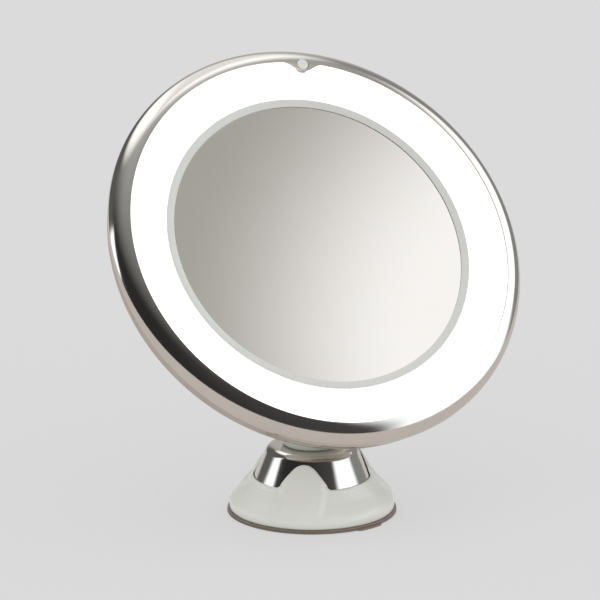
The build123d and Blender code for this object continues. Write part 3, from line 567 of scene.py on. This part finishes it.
def grip():
    """Grip: flared skirt with three soft finger lobes that lie on the plated cone."""
    around = 1440
    rows = 84
    turn = np.arange(around) * 2 * math.pi / around
    third = 2 * math.pi / 3
    off = (turn + third / 2) % third - third / 2
    edge_x = np.linspace(-20, 20, 400)
    edge_z = np.array([arch_top(x) for x in edge_x])
    side = np.sin(off) * MEAN_R
    top = np.interp(side, edge_x, edge_z)
    share = np.linspace(0, 1, rows)
    share = 1 - (1 - share) ** 1.35
    z = SKIRT[0][0] + (top[None, :] - SKIRT[0][0]) * share[:, None]
    cone = cone_r(z) + GAP
    skirt = smooth_curve(SKIRT, np.minimum(z, LEDGE_Z))
    above = np.clip((z - (LEDGE_Z - 0.4)) / 2.6, 0, 1)
    skirt = skirt + (cone - skirt) * above * above * (3 - 2 * above)
    lobe = smooth_curve(LOBE, z)
    x = np.sin(off)[None, :] * (0.5 * lobe + 0.5 * skirt)
    near = np.full(z.shape, 50.0)
    for at_x, at_z in zip(edge_x, edge_z):
        near = np.minimum(near, np.hypot(side[None, :] - at_x, z - at_z))
    inside = np.clip((LOBE_HALF + 1.2 - np.abs(x)) / 4.6, 0, 1)
    inside = inside * inside * (3 - 2 * inside)
    surface = skirt + np.maximum(lobe - skirt, 0) * inside
    brink = np.clip(near / 1.0, 0, 1)
    surface = cone + (surface - cone) * np.where(z > 14, np.sqrt(1 - (1 - brink) ** 2), 1)
    outer = np.stack([surface * np.sin(turn), -surface * np.cos(turn), z], -1)
    low_under = np.interp(z, (1.85, 5.0, 8.0, 10.4, CAP_FOOT_Z),
                          (36.6, 36.6, 34.2, 31.2, cone_r(CAP_FOOT_Z) + GAP))
    under = np.minimum(np.where(z > CAP_FOOT_Z, cone, low_under), surface - 0.02)
    inner = np.stack([under * np.sin(turn), -under * np.cos(turn), z], -1)[::-1]
    verts = np.concatenate([outer, inner]).reshape(-1, 3)
    obj = mesh_object("grip", verts, grid_faces(rows + len(inner), around, True), BASE, sharp=50)
    face_outward(obj)
    return obj


grip_piece = grip()
paint(grip_piece, WHITE)
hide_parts("grip_shell")
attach(grip_piece, "grip")

PAD_R = 39.9
pad = turned("pad", rounded([
    (0.01, 0, 0), (38.9, 0, 0.2), (39.8, 0.15, 0.15), (39.9, 0.5, 0.15), (39.5, 0.85, 0.1), (39.5, 1.1, 0.1),
    (39.8, 1.3, 0.1), (39.6, 1.7, 0.1), (36.5, 1.75, 0), (36.0, 2.5, 0), (14.0, 2.5, 0), (14.0, 8.2, 0.4),
    (4.4, 8.2, 0), (4.4, 7.0, 0), (11.0, 7.0, 0), (11.0, 2.4, 0), (0.01, 2.4, 0)]), around=288)
paint(pad, PAD)
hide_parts("suction_pad")
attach(pad, "base")

PULL_TAB_TURN = 51.8                    # round from the front, degrees
PULL_TAB_HALF, PULL_TAB_REACH = 7.4, 3.3


def pull_tab():
    """Thin tab moulded on the pad's edge, with a row of grip ribs."""
    turn = math.radians(PULL_TAB_TURN)
    out = Vector((math.sin(turn), -math.cos(turn), 0))
    along = Vector((math.cos(turn), math.sin(turn), 0))
    verts = []
    steps_u, steps_v = 24, 60
    for top in (0, 1):
        for i in range(steps_u + 1):
            for j in range(steps_v + 1):
                u, v = i / steps_u, 2 * j / steps_v - 1
                width = PULL_TAB_HALF * (1 - 0.35 * max(0, (u - 0.5) * 2) ** 3)
                reach = PAD_R - 2.2 + PULL_TAB_REACH * u * (1 - 0.06 * v * v)
                thick = 0.05 if not top else 1.05 - 0.35 * u ** 3 - 0.15 * v ** 8
                if top and 0.45 < u < 0.95:
                    thick += 0.08 * math.sin(v * 22)
                point = out * reach + along * (width * v)
                verts.append((point.x, point.y, thick))
    row = steps_v + 1
    layer = (steps_u + 1) * row
    faces = []
    for i in range(steps_u):
        for j in range(steps_v):
            a = i * row + j
            faces.append((a, a + 1, a + row + 1, a + row))
            faces.append((layer + a, layer + a + row, layer + a + row + 1, layer + a + 1))
    edge_loop = list(range(steps_v)) + [i * row + steps_v for i in range(steps_u)]
    edge_loop += [steps_u * row + j for j in range(steps_v, 0, -1)] + [i * row for i in range(steps_u, 0, -1)]
    for a, b in zip(edge_loop, edge_loop[1:] + edge_loop[:1]):
        faces.append((a, layer + a, layer + b, b))
    obj = mesh_object("pull_tab", verts, faces, BASE, sharp=60)
    face_outward(obj)
    return obj


tab = pull_tab()
paint(tab, PAD)
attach(tab, "base")

# ---------------------------------------------------------------- floor
floor_mesh = bpy.data.meshes.new("floor")
FLOOR_HALF = 6.0
floor_mesh.from_pydata([(x * FLOOR_HALF, y * FLOOR_HALF, 0) for x, y in ((-1, -1), (1, -1), (1, 1), (-1, 1))],
                       [], [(0, 1, 2, 3)])
floor = bpy.data.objects.new("floor", floor_mesh)
bpy.context.scene.collection.objects.link(floor)
floor_look = Shader("floor", Roughness=0.9)
floor_look.shader.inputs["Specular IOR Level"].default_value = 0.0
PALE = 0.708                            # brightness of the studio's floor
OWN_LIGHT = 0.72                        # share of it that no shadow darkens, as on a lit table
cloud = floor_look.noise(3)
floor_look.set("Base Color", floor_look.mix(cloud, (PALE * (1 - OWN_LIGHT),) * 3 + (1,),
                                            (PALE * (1 - OWN_LIGHT) * 1.004,) * 3 + (1,)))
floor_look.shader.inputs["Emission Color"].default_value = (PALE, PALE, PALE, 1)
floor_look.shader.inputs["Emission Strength"].default_value = OWN_LIGHT
paint(floor, floor_look.material)

# ---------------------------------------------------------------- camera
CAMERA_TURN = 8.8                       # to the right of the front, degrees
CAMERA_RISE = 15.0
CAMERA_AWAY = 2400
CAMERA_LENS = 308.8
AIM = Vector((-5.53, -0.86, 102.2))
turn, rise = math.radians(CAMERA_TURN), math.radians(CAMERA_RISE)
to_camera = Vector((math.sin(turn) * math.cos(rise), -math.cos(turn) * math.cos(rise), math.sin(rise)))
camera_data = bpy.data.cameras.new("camera")
camera_data.lens = CAMERA_LENS
camera_data.sensor_width = 36
camera_data.clip_start = 0.05
camera = bpy.data.objects.new("camera", camera_data)
camera.location = (AIM + to_camera * CAMERA_AWAY) * MM
camera.rotation_euler = (-to_camera).to_track_quat("-Z", "Y").to_euler()
bpy.context.scene.collection.objects.link(camera)
bpy.context.scene.camera = camera

# ---------------------------------------------------------------- light
# Diffuse light comes from an even dome. What the plating and the glass reflect is
# a dim room with soft boxes, given by turn from the camera (to the right) and rise.
world = bpy.data.worlds.new("studio")
bpy.context.scene.world = world
world.use_nodes = True
world.cycles.sampling_method = "NONE"
tree = world.node_tree
background = tree.nodes["Background"]


def wnode(kind, inputs=None, **settings):
    made = tree.nodes.new(kind)
    for key, value in settings.items():
        setattr(made, key, value)
    for key, value in (inputs or {}).items():
        if isinstance(value, bpy.types.NodeSocket):
            tree.links.new(value, made.inputs[key])
        else:
            made.inputs[key].default_value = value
    return made


def wmath(operation, *values):
    return wnode("ShaderNodeMath", dict(enumerate(values)), operation=operation).outputs[0]


def step(value, start, end, low=0.0, high=1.0):
    """Smooth change from low at start to high at end."""
    return wnode("ShaderNodeMapRange", {"Value": value, "From Min": start, "From Max": end, "To Min": low,
                                        "To Max": high}, interpolation_type="SMOOTHSTEP").outputs[0]


def window(value, start, end, soft):
    """1 from start to end, falling smoothly to 0 over soft degrees at each side."""
    return wmath("MULTIPLY", step(value, start - soft, start + soft),
                 step(value, end - soft, end + soft, 1.0, 0.0))


def blend(factor, a, b):
    """a where the factor is 0 and b where it is 1; both may be sockets."""
    made = wnode("ShaderNodeMix", data_type="RGBA")
    for index, value in ((0, factor), (6, a), (7, b)):
        if isinstance(value, bpy.types.NodeSocket):
            tree.links.new(value, made.inputs[index])
        else:
            made.inputs[index].default_value = value
    return made.outputs[2]


direction = wnode("ShaderNodeTexCoord").outputs["Generated"]
spun = wnode("ShaderNodeVectorRotate", {"Vector": direction, "Angle": -turn}, rotation_type="Z_AXIS").outputs[0]
parts = wnode("ShaderNodeSeparateXYZ", {0: spun})
azimuth = wmath("MULTIPLY", wmath("ARCTAN2", parts.outputs[0], wmath("MULTIPLY", parts.outputs[1], -1.0)),
                180 / math.pi)
rising = wmath("MULTIPLY", wmath("ARCSINE", parts.outputs[2]), 180 / math.pi)

SOFT_BOX = (1.62, 1.80, 1.95, 1)

# Dim room: darkest in front, lighter overhead and towards both sides
SHADE = (0.92, 0.99, 1.02)
dim = wmath("ADD", step(rising, 36, 96, 0.036, 0.62), step(azimuth, 55, 112, 0.0, 0.26))
dim = wmath("ADD", dim, step(azimuth, -60, -112, 0.0, 0.11))
dim = wmath("ADD", dim, step(azimuth, -20, 50, 0.0, 0.04))
room = wnode("ShaderNodeVectorMath", {0: SHADE}, operation="SCALE")
tree.links.new(dim, room.inputs["Scale"])
total = room.outputs[0]

# Large soft box on the right
far_side = wmath("SUBTRACT", azimuth, step(rising, 14, 26, 0.0, 29.0))
right = wmath("MULTIPLY", wmath("MULTIPLY", step(azimuth, 49, 61), step(far_side, 97, 109, 1.0, 0.0)),
              window(rising, -12, 47, 7))
total = blend(right, total, SOFT_BOX)

# Panel above it that the glass reflects, fading downwards
lean = wmath("ADD", rising, wmath("MULTIPLY", wmath("SUBTRACT", 68.0, azimuth), 0.2))
panel_light = step(lean, 43.5, 61.5)
panel = blend(panel_light, (0.395, 0.378, 0.355, 1), (0.985, 0.965, 0.96, 1))
inside = wmath("MULTIPLY", window(azimuth, 43, 97, 4), window(rising, 41.5, 68, 2.5))
total = blend(inside, total, panel)

# Slanting strip on the left
slant = wmath("SUBTRACT", rising, wmath("MULTIPLY", wmath("ADD", azimuth, 105.0), 0.9))
left = wmath("MULTIPLY", window(azimuth, -150, -84, 4), window(slant, -11, 14, 3))
total = blend(left, total, SOFT_BOX)

# Pale wall behind, seen only at the edges of the rim
wall_turn, wall_rise = math.radians(-165), math.radians(62)
wall_way = (math.sin(wall_turn) * math.cos(wall_rise), -math.cos(wall_turn) * math.cos(wall_rise),
            math.sin(wall_rise))
near_wall = wnode("ShaderNodeVectorMath", {0: spun, 1: wall_way}, operation="DOT_PRODUCT").outputs["Value"]
wall = step(near_wall, math.cos(math.radians(33)), math.cos(math.radians(20)))
total = blend(wall, total, (1.55, 1.68, 1.80, 1))
behind = step(wmath("ABSOLUTE", azimuth), 150, 172)
total = blend(wmath("MULTIPLY", behind, 0.6), total, (0.8, 0.8, 0.8, 1))

path = wnode("ShaderNodeLightPath")
soft_dome = wmath("MAXIMUM", path.outputs["Is Diffuse Ray"], path.outputs["Is Camera Ray"])
total = blend(soft_dome, total, (1.0, 1.0, 1.0, 1))
tree.links.new(total, background.inputs["Color"])
background.inputs["Strength"].default_value = 1.0

bpy.context.scene.view_settings.view_transform = "Standard"
